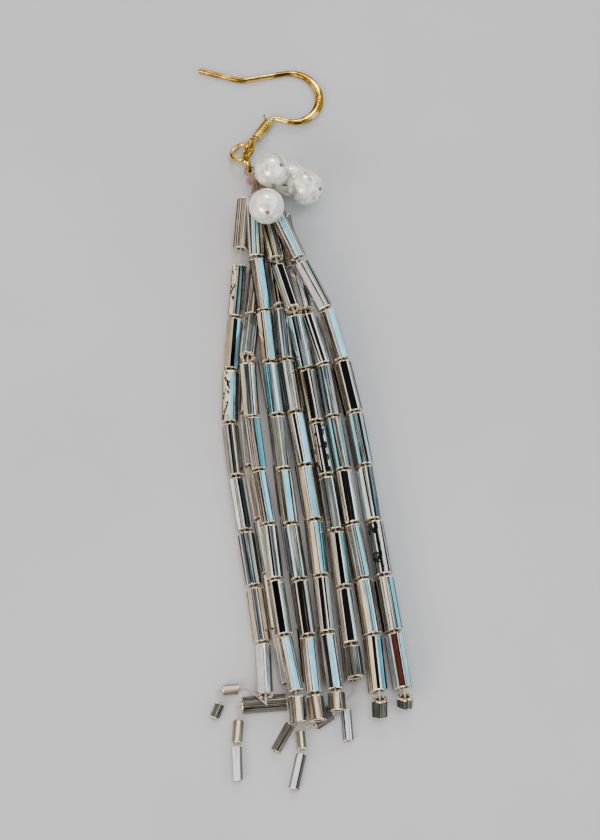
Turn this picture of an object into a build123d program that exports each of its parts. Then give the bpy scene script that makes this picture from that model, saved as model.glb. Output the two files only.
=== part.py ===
"""Long beaded fringe earring, laid flat: gold ear hook, four pearls and strands of six-sided bugle beads.

Millimetres. +Z is up from the surface it lies on, +Y runs towards the ear hook and +X to the right. The model is
drawn round the middle of the earring, and every piece is then moved so that the origin is under its middle.
"""
import math
import os
from collections import namedtuple

import numpy as np
from build123d import *

os.makedirs("parts", exist_ok=True)

# Bugle beads of the fringe
BEAD_LENGTH = 7.0
BEAD_RADIUS = 1.1
BEAD_BORE = 0.55
SMALL_RADIUS = 0.68
SMALL_BORE = 0.34
BEAD_SIDES = 6
END_CLEAR = 0.14
SIDE_CLEAR = 0.06
FACET_TURN = 17
END_FACET_TURN = 20

# Thread
THREAD_RADIUS = 0.11
THREAD_LEAD = 1.1
THREAD_BARE = 0.9
THREAD_PLAY = 0.12
THREAD_TUCK = 0.6

# Pearls
PEARL_RADIUS = 2.42
PEARL_BORE = 0.38
END_KNOT_RADIUS = 0.28
END_KNOT_INSET = 0.1

# Gold wire
HOOK_WIRE = 0.35
HOOK_FLAT_HALF_WIDTH = 0.52
HOOK_FLAT_HALF_THICK = 0.27
EYE_RADIUS = 0.9
COIL_WIRE = 0.14
COIL_GAP = 0.05
COIL_LENGTH = 3.5
RING_WIRE = 0.3
JUMP_RING_RADIUS = 1.5
LINK_RING_RADIUS = 1.4

# Heights across the fringe at which each strand's place is given
STATIONS = (32.0, 26.0, 13.0, 0.0, -13.0, -26.0, -34.0, -40.0)

# A strand: where its first bead starts up the earring and how high above the table, the bare thread after that
# bead, the gap between beads, how far it lies to the right at each station, its full beads, the length of the
# short bead that ends it, and the turn of its facets
Strand = namedtuple("Strand", "name start lift slack gap x32 x26 x13 x0 x_13 x_26 x_34 x_40 beads stub turn")

BACK_STRANDS = (
    Strand("back_strand_1", 8.6, 1.1, 0.0, 0.20, -7.0, -7.6, -7.2, -7.6, -5.65, -3.6, -2.3, -1.6, 6, 0, 8),
    Strand("back_strand_2", 9.3, 1.1, 0.0, 0.30, -6.4, -6.2, -5.3, -3.9, -2.3, -0.3, 0.6, 0.8, 6, 0, 21),
    Strand("back_strand_3", 16.2, 1.1, 0.0, 0.30, -5.8, -5.4, -3.5, -1.4, 0.8, 2.2, 3.2, 3.4, 7, 0, 3),
    Strand("back_strand_4", 16.4, 1.1, 0.0, 0.30, -5.2, -4.6, -1.8, 1.2, 3.3, 5.0, 5.9, 6.1, 7, 0, 27),
    Strand("back_strand_5", 14.8, 1.1, 0.0, 0.30, -4.6, -3.8, 0.5, 3.3, 5.6, 7.8, 8.7, 9.0, 7, 0, 14),
    Strand("back_strand_6", 15.0, 1.1, 0.0, 0.30, -4.0, -2.6, 3.0, 6.3, 8.4, 10.5, 11.8, 12.1, 7, 0, 33),
)
FRONT_STRANDS = (
    Strand("front_strand_1", 31.0, 3.6, 1.9, 0.35, -8.1, -8.3, -9.25, -9.9, -8.0, -5.8, -5.1, -5.0, 9, 0, 5),
    Strand("front_strand_2", 29.4, 1.5, 0.1, 0.25, -6.9, -6.7, -7.0, -7.0, -5.0, -3.2, -1.6, -0.7, 9, 3.3, 12),
    Strand("front_strand_3", 29.2, 5.7, 0.1, 0.30, -6.9, -6.9, -5.1, -3.7, -2.1, -0.1, 0.8, 1.6, 9, 3.2, 18),
    Strand("front_strand_4", 29.8, 1.5, 0.2, 0.30, -4.5, -4.4, -3.1, -1.2, 1.0, 2.4, 3.5, 4.0, 9, 2.4, 24),
    Strand("front_strand_5", 28.8, 3.6, 0.9, 0.35, -5.8, -5.2, -1.7, 1.4, 3.5, 5.2, 6.2, 7.3, 8, 4.0, 30),
    Strand("front_strand_6", 28.6, 3.6, 0.2, 0.25, -3.5, -2.7, 0.6, 3.4, 5.7, 8.0, 8.9, 9.2, 9, 2.4, 2),
    Strand("front_strand_7", 28.2, 5.7, 0.4, 0.30, -4.9, -3.2, 3.2, 6.5, 8.6, 10.7, 12.0, 12.4, 9, 1.5, 9),
)

# Beads that lie loose at the strands' far ends, in the order they are strung: the middle's place, the way the
# thread runs, counted from +X, the length, and whether the bead is one of the thin ones
EndBead = namedtuple("EndBead", "strand x y heading length thin")
END_BEADS = (
    EndBead("front_strand_1", -9.45, -34.65, 184, 2.2, True),
    EndBead("front_strand_1", -11.15, -37.4, 248, 2.05, True),
    EndBead("back_strand_1", -5.2, -36.55, 189, 5.8, False),
    EndBead("back_strand_1", -8.5, -39.85, 265, 2.9, True),
    EndBead("back_strand_1", -8.55, -43.8, 272, 4.4, True),
    EndBead("back_strand_2", -0.6, -41.0, 270, 2.4, True),
    EndBead("back_strand_2", -1.1, -44.8, 258, 4.6, True),
    EndBead("back_strand_3", 1.9, -38.3, 211, 2.8, False),
    EndBead("back_strand_3", -2.8, -40.8, 237, 4.0, True),
    EndBead("back_strand_4", 5.0, -39.2, 277, 4.0, True),
)

# Settling of the strands on the table and on each other
WALK_STEPS = 40
SETTLE_ROUNDS = 700
CALM_ROUNDS = 300
THREAD_LEVEL = 0.2
THREAD_HEAD = 31.6
THREAD_RISE = 0.6
SAMPLES = (0.0, 0.25, 0.5, 0.75, 1.0)
HOLD = 0.1
SINK = 0.01
PUSH = 0.45
EAGER = 1.6
HEAD_SHARE = 0.5
LAYER = 0.25
FRONT_START = 3.4

# Places of the head, as (right, up the earring, height above the table), and sections round the hook's bend, as
# (share of the bend, half width across it, half thickness)
EYE = (-7.62, 40.0, 1.27)
HOOK_TURNS = ((-4.55, 44.3), (1.85, 42.6), (1.85, 52.3), (-8.9, 50.2))
HOOK_RADII = (0.6, 3.55, 4.05, 4.0)
HOOK_TIP = (-14.8, 51.9)
HOOK_TIP_CHAMFER = 0.12
HOOK_BEND_SECTIONS = (
    (0.0, HOOK_WIRE, HOOK_WIRE),
    (0.2, HOOK_FLAT_HALF_WIDTH, HOOK_FLAT_HALF_THICK),
    (0.7, HOOK_FLAT_HALF_WIDTH, HOOK_FLAT_HALF_THICK),
    (1.0, HOOK_WIRE, HOOK_WIRE),
)
HOOK_RESTS = ((-2.2, 51.44), (-14.8, 51.9))
HOOK_REST_HEIGHT = 0.37
COIL_START = 1.33
COIL_TURNS = 12
COIL_END_LENGTH = 1.0
JUMP_RING_TURN = 42.0
JUMP_RING_TILT = 30.0
LINK_RING_CENTRE = (-8.01, 37.26, 1.74)
LINK_RING_HEADING = (0.3, -0.954, 0)
KNOT = (-7.38, 34.6, 1.74)
KNOT_RADIUS = 0.68
BAIL_RADIUS = 0.68
BAIL_WIRE = 0.13
GATHER_RADIUS = 0.5
GATHER_HALF_WIDTH = 1.05
GATHER_HALF_THICK = 0.36
GATHER_END = (-5.5, 32.6, 2.9)
GATHER_EXIT = (0.2, -0.95, 0.25)
THREAD_GAP = 0.06
FAN_PITCH = 0.3
FAN_RISE = 0.16

# Threads in the order they leave the gather, from left to right
FRONT_FAN = (1, 2, 3, 5, 7, 4, 6)
BACK_FAN = (1, 2, 3, 4, 5, 6)

# A pearl: its middle, and where its thread leaves the gather
Pearl = namedtuple("Pearl", "number x y z from_x from_y from_z")
PEARLS = (
    Pearl(1, -4.48, 33.72, 6.70, -6.77, 34.03, 2.82),
    Pearl(2, -5.15, 27.35, 9.30, -5.70, 32.87, 3.42),
    Pearl(3, -0.12, 31.60, 5.95, -5.30, 33.45, 3.18),
    Pearl(4, -2.18, 34.49, 2.44, -5.22, 33.76, 2.65),
)


class Bead:
    """One bead on its thread line from start to end, with the turn of its facets about that line."""

    def __init__(self, start, end, length, radius, bore, turn):
        self.start = np.array(start, dtype=float)
        self.end = np.array(end, dtype=float)
        self.length = length
        self.radius = radius
        self.bore = bore
        self.turn = turn

    def axis(self):
        """Unit vector from start to end."""
        run = self.end - self.start
        return run / np.linalg.norm(run)


def across(strand, y):
    """How far to the right the strand lies at y, on a smooth curve through its stations."""
    xs = (strand.x32, strand.x26, strand.x13, strand.x0, strand.x_13, strand.x_26, strand.x_34, strand.x_40)
    y = min(max(y, STATIONS[-1]), STATIONS[0])
    at = next(i for i in range(len(xs) - 1) if y >= STATIONS[i + 1])

    def slope(i):
        low, high = max(i - 1, 0), min(i + 1, len(xs) - 1)
        return (xs[high] - xs[low]) / (STATIONS[high] - STATIONS[low])

    span = STATIONS[at + 1] - STATIONS[at]
    t = (y - STATIONS[at]) / span
    ease = t * t * (3 - 2 * t)
    bow = span * (slope(at) * t * (1 - t) ** 2 - slope(at + 1) * t * t * (1 - t))
    return xs[at] * (1 - ease) + xs[at + 1] * ease + bow


def walk(strand, y, distance):
    """The y that lies a straight distance further down the strand's curve."""
    x = across(strand, y)
    low, high = y - distance, y
    for _ in range(WALK_STEPS):
        middle = (low + high) / 2
        if math.dist((x, y), (across(strand, middle), middle)) > distance:
            low = middle
        else:
            high = middle
    return (low + high) / 2


def string_beads(strand, height):
    """The strand's beads laid out along its curve, before they settle, with the head at its own height."""
    lengths = [BEAD_LENGTH] * strand.beads + [strand.stub] * (strand.stub > 0)
    beads = []
    y = strand.start
    for i, length in enumerate(lengths):
        y_end = walk(strand, y, length)
        start = (across(strand, y), y, height if i else strand.lift)
        end = (across(strand, y_end), y_end, height)
        beads.append(Bead(start, end, length, BEAD_RADIUS, BEAD_BORE, strand.turn + FACET_TURN * i))
        y = walk(strand, y_end, strand.gap + (0 if i else strand.slack))
    return beads


def end_bead(row, turn):
    """A loose bead at a strand's far end, lying flat on the table."""
    radius = SMALL_RADIUS if row.thin else BEAD_RADIUS
    bore = SMALL_BORE if row.thin else BEAD_BORE
    heading = math.radians(row.heading)
    reach = np.array((math.cos(heading), math.sin(heading), 0.0)) * (row.length / 2)
    middle = np.array((row.x, row.y, radius))
    return Bead(middle - reach, middle + reach, row.length, radius, bore, turn)


def settle(beads, layers, links, pinned, fixed):
    """Lets the beads sink onto the table and each other without passing through, near the places they start from.

    beads are all beads, layers says which lie on top where two meet, links are pairs of beads in a row with the
    least gap between them, pinned are beads whose start stays, and fixed are beads that don't move.
    """
    ends = np.array([[bead.start, bead.end] for bead in beads])
    home = ends.copy()
    radius = np.array([bead.radius for bead in beads])
    length = np.array([bead.length for bead in beads])
    layer = np.array(layers)
    loose = np.array([bead not in fixed for bead in beads], dtype=float)
    held = np.array([bead in pinned for bead in beads])
    linked = {(a, b) for a, b, _ in links}
    pairs = [
        (i, j)
        for i in range(len(beads))
        for j in range(len(beads))
        if i != j and (i, j) not in linked and (j, i) not in linked
        and np.linalg.norm(home[i].mean(0)[:2] - home[j].mean(0)[:2]) < (length[i] + length[j]) / 2 + 3 * BEAD_RADIUS
    ]
    one, two = np.array(pairs).T
    reach = radius[one] + radius[two] + SIDE_CLEAR
    upward = np.sign(layer[one] - layer[two])
    for turn_no in range(SETTLE_ROUNDS + CALM_ROUNDS):
        calm = turn_no >= SETTLE_ROUNDS
        if not calm:
            ends[:, :, :2] += (home[:, :, :2] - ends[:, :, :2]) * HOLD * loose[:, None, None]
            ends[:, :, 2] -= SINK * loose[:, None]
        move = np.zeros_like(ends)
        count = np.full(ends.shape[:2], 1e-9)
        run = ends[two, 1] - ends[two, 0]
        for t in SAMPLES:
            point = ends[one, 0] * (1 - t) + ends[one, 1] * t
            s = np.clip(((point - ends[two, 0]) * run).sum(1) / (run**2).sum(1), 0, 1)
            away = point - ends[two, 0] - run * s[:, None]
            wrong = (upward != 0) & (away[:, 2] * upward < LAYER)
            away[wrong, 2] = LAYER * upward[wrong]
            apart = np.linalg.norm(away, axis=1)
            true_apart = np.linalg.norm(point - ends[two, 0] - run * s[:, None], axis=1)
            hit = true_apart < reach
            push = away[hit] / apart[hit, None] * (reach[hit] - true_apart[hit])[:, None] * PUSH
            for share, index, end, sign in (
                (1 - t, one[hit], 0, 1), (t, one[hit], 1, 1),
                (1 - s[hit], two[hit], 0, -1), (s[hit], two[hit], 1, -1),
            ):
                weight = np.broadcast_to(share, index.shape)
                np.add.at(move[:, end], index, sign * push * weight[:, None])
                np.add.at(count[:, end], index, weight)
        ends += move / np.maximum(count, 1.0)[:, :, None] * loose[:, None, None] * EAGER
        for a, b, least in links:
            line_a, line_b = ends[a, 1] - ends[a, 0], ends[b, 1] - ends[b, 0]
            cosine = line_a @ line_b / np.linalg.norm(line_a) / np.linalg.norm(line_b)
            turn = math.acos(min(1.0, max(-1.0, cosine)))
            gap = max(least, 2 * BEAD_RADIUS * math.tan(turn / 2) + END_CLEAR)
            between = ends[b, 0] - ends[a, 1]
            wide = np.linalg.norm(between)
            along = line_a / np.linalg.norm(line_a) + line_b / np.linalg.norm(line_b)
            want = along / np.linalg.norm(along) * gap
            shift = (between - want) / 2
            ends[a, 1] += shift * loose[a]
            ends[b, 0] -= shift * loose[b]
        middle = ends.mean(1)
        line = ends[:, 1] - ends[:, 0]
        line *= (length / np.linalg.norm(line, axis=1))[:, None] / 2
        ends[:, 0], ends[:, 1] = middle - line, middle + line
        low = np.maximum(radius[:, None] - ends[:, :, 2], 0)
        ends[:, :, 2] += low
        shift = (home[:, 0] - ends[:, 0]) * held[:, None]
        ends[:, 0] += shift
        ends[:, 1] += shift * HEAD_SHARE
    for bead, (start, end) in zip(beads, ends):
        middle, line = (start + end) / 2, end - start
        line = line * bead.length / np.linalg.norm(line) / 2
        bead.start, bead.end = middle - line, middle + line


def bare_run(strand):
    """The run of thread on the table under the head of the fringe, down to a back strand's first bead."""
    head = (across(strand, THREAD_HEAD), THREAD_HEAD, THREAD_LEVEL)
    foot = (across(strand, strand.start), strand.start + THREAD_RISE, THREAD_LEVEL)
    return Bead(head, foot, math.dist(head, foot), THREAD_RADIUS, 0, 0)


def lay_out_fringe():
    """All beads of the fringe, settled, as lists by strand and as loose ends by strand."""
    strands, tails = {}, {row.name: [] for row in BACK_STRANDS + FRONT_STRANDS}
    beads, layers, links, pinned, fixed = [], [], [], [], []
    for i, row in enumerate(END_BEADS):
        bead = end_bead(row, END_FACET_TURN * i)
        if tails[row.strand]:
            gap = math.dist(tails[row.strand][-1].end, bead.start)
            if gap < THREAD_BARE:
                links.append((i - 1, i, gap))
        tails[row.strand].append(bead)
        beads.append(bead)
        layers.append(0)
    for row in BACK_STRANDS:
        fixed.append(bare_run(row))
        beads.append(fixed[-1])
        layers.append(0)
    for row in BACK_STRANDS + FRONT_STRANDS:
        front = row in FRONT_STRANDS
        strung = string_beads(row, FRONT_START if front else BEAD_RADIUS)
        first = len(beads)
        beads += strung
        layers += [2 if front else 1] * len(strung)
        links += [(first + i, first + i + 1, row.gap + (0 if i else row.slack)) for i in range(len(strung) - 1)]
        if front:
            pinned.append(strung[0])
        strands[row.name] = strung
    settle(beads, layers, links, pinned, fixed)
    return strands, tails


def vector(place):
    """A vector from any three numbers."""
    return Vector(*(float(value) for value in place))


def cross_plane(start, direction):
    """Plane at a point, square to a direction, with its X axis level."""
    z_dir = vector(direction).normalized()
    return Plane(origin=vector(start), x_dir=Vector(-z_dir.Y, z_dir.X, 0), z_dir=z_dir)


def keep(part, name):
    """Labels a finished piece and puts it with the others."""
    part.label = name
    pieces.append(part)


def make_beads(name, beads):
    """The beads of a strand as one piece of loose six-sided beads, each drilled for the thread."""
    with BuildPart() as string_of_beads:
        for bead in beads:
            with BuildSketch(cross_plane(bead.start, bead.axis())):
                RegularPolygon(bead.radius, BEAD_SIDES, rotation=bead.turn)
                Circle(bead.bore, mode=Mode.SUBTRACT)
            extrude(amount=bead.length)
    keep(string_of_beads.part, name)


def straighten(places):
    """The same run with fewer corners, no place lying further than the thread's play from the new run."""
    first, last = places[0], places[-1]
    along = (last - first).normalized()
    offs = [((place - first) - along * (place - first).dot(along)).length for place in places]
    worst = max(range(len(places)), key=lambda i: offs[i])
    if offs[worst] <= THREAD_PLAY:
        return [first, last]
    return straighten(places[:worst + 1])[:-1] + straighten(places[worst:])


def make_thread(name, places):
    """A thread through places that are joined by straight runs."""
    places = straighten(places)
    with BuildPart() as thread:
        with BuildLine() as run:
            Polyline(*places)
        with BuildSketch(cross_plane(places[0], places[1] - places[0])):
            Circle(THREAD_RADIUS)
        sweep(path=run.wire(), transition=Transition.RIGHT)
    keep(thread.part, name)


def through_beads(beads):
    """Places along the thread of a row of beads, with a straight lead at each mouth that stands far from the next."""
    places = []
    for i, bead in enumerate(beads):
        axis = vector(bead.axis())
        gap = math.dist(beads[i - 1].end, bead.start) if i else 0
        if gap > THREAD_BARE:
            lead = min(THREAD_LEAD, gap / 3)
            places.append(vector(beads[i - 1].end) + vector(beads[i - 1].axis()) * lead)
            places.append(vector(bead.start) - axis * lead)
        places.append(vector(bead.start))
        tuck = THREAD_TUCK if i == len(beads) - 1 else 0
        places.append(vector(bead.end) - axis * tuck)
    return places


def make_pearl(pearl):
    """A drilled round pearl and the thread that holds it, knotted in the far mouth of its bore."""
    middle = Vector(pearl.x, pearl.y, pearl.z)
    root = Vector(pearl.from_x, pearl.from_y, pearl.from_z)
    along = (middle - root).normalized()
    with BuildPart() as ball:
        with Locations(cross_plane(middle, along)):
            Sphere(PEARL_RADIUS)
            Cylinder(PEARL_BORE, 3 * PEARL_RADIUS, mode=Mode.SUBTRACT)
    keep(ball.part, f"pearl_{pearl.number}")
    knot = middle + along * (PEARL_RADIUS - END_KNOT_INSET)
    with BuildPart() as thread:
        with BuildSketch(cross_plane(root, along)):
            Circle(THREAD_RADIUS)
        extrude(amount=(knot - root).length)
        with Locations(knot):
            Sphere(END_KNOT_RADIUS)
    keep(thread.part, f"pearl_thread_{pearl.number}")


pieces = []
strands, tails = lay_out_fringe()
up = Vector(0, 0, 1)

# Ear hook: eye, shank, bend and tail, on a plane that leans from the eye to where the bend and the tail touch down
(right_x, right_y), (tail_x, tail_y) = ((x - EYE[0], y - EYE[1]) for x, y in HOOK_RESTS)
drop = HOOK_REST_HEIGHT - EYE[2]
lean_y = drop * (right_x - tail_x) / (right_x * tail_y - tail_x * right_y)
lean_x = (drop - lean_y * right_y) / right_x
hook_plane = Plane(origin=EYE, x_dir=(1, 0, lean_x), z_dir=(-lean_x, -lean_y, 1))
turns = [Vector(x - EYE[0], y - EYE[1]) for x, y in HOOK_TURNS]
tip = Vector(HOOK_TIP[0] - EYE[0], HOOK_TIP[1] - EYE[1])
shank = turns[0].normalized()
shank_line = hook_plane.from_local_coords(shank) - hook_plane.origin

with BuildPart() as ear_hook:
    with BuildLine(hook_plane) as hook_line:
        FilletPolyline(shank * EYE_RADIUS, *turns, tip, radius=HOOK_RADII)
    hook_edges = hook_line.wire().moved(hook_plane.location).edges()
    for run in (Wire(hook_edges[:3]), Wire(hook_edges[6:])):
        with BuildSketch(Plane(origin=run @ 0, x_dir=hook_plane.z_dir.cross(run % 0), z_dir=run % 0)):
            Circle(HOOK_WIRE)
        sweep(path=run)
    tip_face = ear_hook.faces().filter_by(GeomType.PLANE).sort_by_distance(run @ 1)[0]
    chamfer(tip_face.edges(), length=HOOK_TIP_CHAMFER)
    bend = Wire(hook_edges[3:6])
    for at, half_width, half_thick in HOOK_BEND_SECTIONS:
        along = bend % at
        with BuildSketch(Plane(origin=bend @ at, x_dir=hook_plane.z_dir.cross(along), z_dir=along)):
            Ellipse(half_width, half_thick)
    sweep(path=bend, multisection=True)
    with Locations(Plane(origin=EYE, x_dir=up, z_dir=up.cross(shank_line))):
        Torus(EYE_RADIUS, HOOK_WIRE)
keep(ear_hook.part, "ear_hook")

# Fine wire wound round the shank, as a ribbed sleeve with the wire's end standing out at the top
coil_foot = hook_plane.origin + shank_line * COIL_START
ridge_radius = HOOK_WIRE + COIL_GAP + COIL_WIRE
ridge_pitch = (COIL_LENGTH - 2 * COIL_WIRE) / (COIL_TURNS - 1)
coil_left = hook_plane.z_dir.cross(shank_line)

with BuildPart() as hook_coil:
    with BuildSketch(Plane(origin=coil_foot, x_dir=coil_left, z_dir=coil_left.cross(shank_line))):
        with Locations((ridge_radius - COIL_WIRE / 2, COIL_LENGTH / 2)):
            Rectangle(COIL_WIRE, COIL_LENGTH - 2 * COIL_WIRE)
        with Locations(*[(ridge_radius, COIL_WIRE + ridge_pitch * i) for i in range(COIL_TURNS)]):
            Circle(COIL_WIRE)
    revolve(axis=Axis(coil_foot, shank_line))
    coil_end = coil_foot + coil_left * ridge_radius + shank_line * (COIL_LENGTH - COIL_WIRE)
    with BuildSketch(cross_plane(coil_end, coil_left + shank_line * 0.6)):
        Circle(COIL_WIRE)
    extrude(amount=COIL_END_LENGTH)
keep(hook_coil.part, "hook_coil")

# Jump ring through the eye, and the ring that links it to the knot
turn, tilt = math.radians(JUMP_RING_TURN), math.radians(JUMP_RING_TILT)
toward_eye = Vector(math.cos(turn), math.sin(turn), 0)
ring_side = Vector(math.sin(turn) * math.cos(tilt), -math.cos(turn) * math.cos(tilt), math.sin(tilt))

with BuildPart() as jump_ring:
    with Locations(Plane(origin=vector(EYE) - toward_eye * JUMP_RING_RADIUS, x_dir=toward_eye,
                         z_dir=toward_eye.cross(ring_side))):
        Torus(JUMP_RING_RADIUS, RING_WIRE)
keep(jump_ring.part, "jump_ring")

link_heading = vector(LINK_RING_HEADING).normalized()

with BuildPart() as link_ring:
    with Locations(Plane(origin=LINK_RING_CENTRE, x_dir=link_heading, z_dir=link_heading.cross(up))):
        Torus(LINK_RING_RADIUS, RING_WIRE)
keep(link_ring.part, "link_ring")

# Knot of the threads, with the loop that holds it to the link ring
with BuildPart() as thread_knot:
    with Locations(Vector(*KNOT)):
        Sphere(KNOT_RADIUS)
    with Locations(vector(LINK_RING_CENTRE) + link_heading * LINK_RING_RADIUS):
        Torus(BAIL_RADIUS, BAIL_WIRE)
keep(thread_knot.part, "thread_knot")

# Gathered threads between the knot and the fan of strands
gather_line = (Vector(*GATHER_END) - Vector(*KNOT)).normalized()
gather_exit = cross_plane(GATHER_END, GATHER_EXIT)

with BuildPart() as thread_gather:
    with BuildSketch(cross_plane(Vector(*KNOT) + gather_line * (KNOT_RADIUS + THREAD_GAP), gather_line)):
        Circle(GATHER_RADIUS)
    with BuildSketch(gather_exit):
        Ellipse(GATHER_HALF_WIDTH, GATHER_HALF_THICK)
    loft()
keep(thread_gather.part, "thread_gather")

# Strands of beads and their threads
for row in FRONT_STRANDS + BACK_STRANDS:
    front = row in FRONT_STRANDS
    number = int(row.name[-1])
    fan = FRONT_FAN if front else BACK_FAN
    slot = (fan.index(number) - (len(fan) - 1) / 2) * FAN_PITCH
    root = gather_exit.from_local_coords(Vector(slot, FAN_RISE if front else -FAN_RISE, THREAD_GAP))
    beads = strands[row.name] + tails[row.name]
    make_beads(row.name, beads)
    places = [root]
    if not front:
        floor_run = bare_run(row)
        places += [vector(floor_run.start), vector(floor_run.end)]
    make_thread(row.name.replace("strand", "thread"), places + through_beads(beads))

for row in PEARLS:
    make_pearl(row)

# Each piece is moved so that the origin lies under the middle of the whole
box = Compound(children=[Compound(label=piece.label, children=piece.solids()) for piece in pieces]).bounding_box()
under_middle = Location(-Vector(box.center().X, box.center().Y, box.min.Z))
for piece in pieces:
    placed = piece.moved(under_middle)
    placed.label = piece.label
    export_step(placed, f"parts/{piece.label}.step")
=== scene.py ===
"""Beaded fringe earring with a gold ear hook and pearls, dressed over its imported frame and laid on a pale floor."""

import logging
import math
import random
from dataclasses import dataclass, field
from enum import Enum, IntEnum

import bpy
import numpy as np
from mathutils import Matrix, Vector


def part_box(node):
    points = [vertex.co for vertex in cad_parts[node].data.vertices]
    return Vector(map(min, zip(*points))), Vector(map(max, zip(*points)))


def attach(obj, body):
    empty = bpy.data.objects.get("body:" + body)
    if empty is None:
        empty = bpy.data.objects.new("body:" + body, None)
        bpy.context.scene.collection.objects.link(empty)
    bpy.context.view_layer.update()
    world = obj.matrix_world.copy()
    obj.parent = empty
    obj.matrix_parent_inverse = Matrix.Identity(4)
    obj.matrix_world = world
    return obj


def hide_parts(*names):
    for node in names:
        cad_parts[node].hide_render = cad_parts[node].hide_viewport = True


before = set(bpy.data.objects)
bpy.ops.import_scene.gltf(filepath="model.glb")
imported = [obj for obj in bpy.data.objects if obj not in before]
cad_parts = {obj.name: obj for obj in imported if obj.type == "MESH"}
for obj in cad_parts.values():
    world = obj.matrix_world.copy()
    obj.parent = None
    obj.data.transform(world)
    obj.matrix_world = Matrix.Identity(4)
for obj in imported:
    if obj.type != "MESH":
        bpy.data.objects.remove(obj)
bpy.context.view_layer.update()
LOG = logging.getLogger("earring")
MM = 0.001
BODY = "root"
# Points of a mesh closer than this, in metres, are taken as one
WELD = 2e-7
# Stands in for the area of a face that has none
TINY = 1e-18
# A full turn shared out by the golden ratio, which spreads threads evenly over a round
GOLDEN_TURN = 2.399963

Colour = tuple[float, float, float]
Value = float | tuple[float, ...] | str
Link = "Shade | Value"
Face = tuple[int, ...]
Edge = tuple[float, float] | None


class Tone(Enum):
    """Painted reflections and shade on strips of a bead's facets: red, green and blue, then how streaked it is."""

    SKY = (0.20, 0.75, 1.00, 0.10)
    PALE_SKY = (0.50, 0.84, 0.98, 0.20)
    BLACK = (0.003, 0.003, 0.004, 0.0)
    WHITE = (1.00, 0.99, 0.95, 0.10)
    LILAC = (0.66, 0.72, 0.84, 0.15)
    ROSE = (0.80, 0.75, 0.76, 0.20)
    SILVER = (0.46, 0.50, 0.46, 0.80)
    MIST = (0.14, 0.175, 0.155, 0.35)
    STEEL = (0.20, 0.33, 0.42, 1.00)
    SLATE = (0.07, 0.10, 0.12, 0.50)
    TAN = (0.42, 0.285, 0.17, 0.90)
    CREAM = (1.00, 0.76, 0.50, 0.12)
    OLIVE = (0.12, 0.098, 0.06, 1.00)
    BROWN = (0.045, 0.027, 0.016, 0.60)
    RUST = (0.085, 0.018, 0.010, 0.05)
    NAVY = (0.012, 0.022, 0.055, 0.10)
    SMOKE = (0.10, 0.09, 0.072, 0.22)
    FAINT = (0.48, 0.46, 0.43, 0.80)


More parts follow.
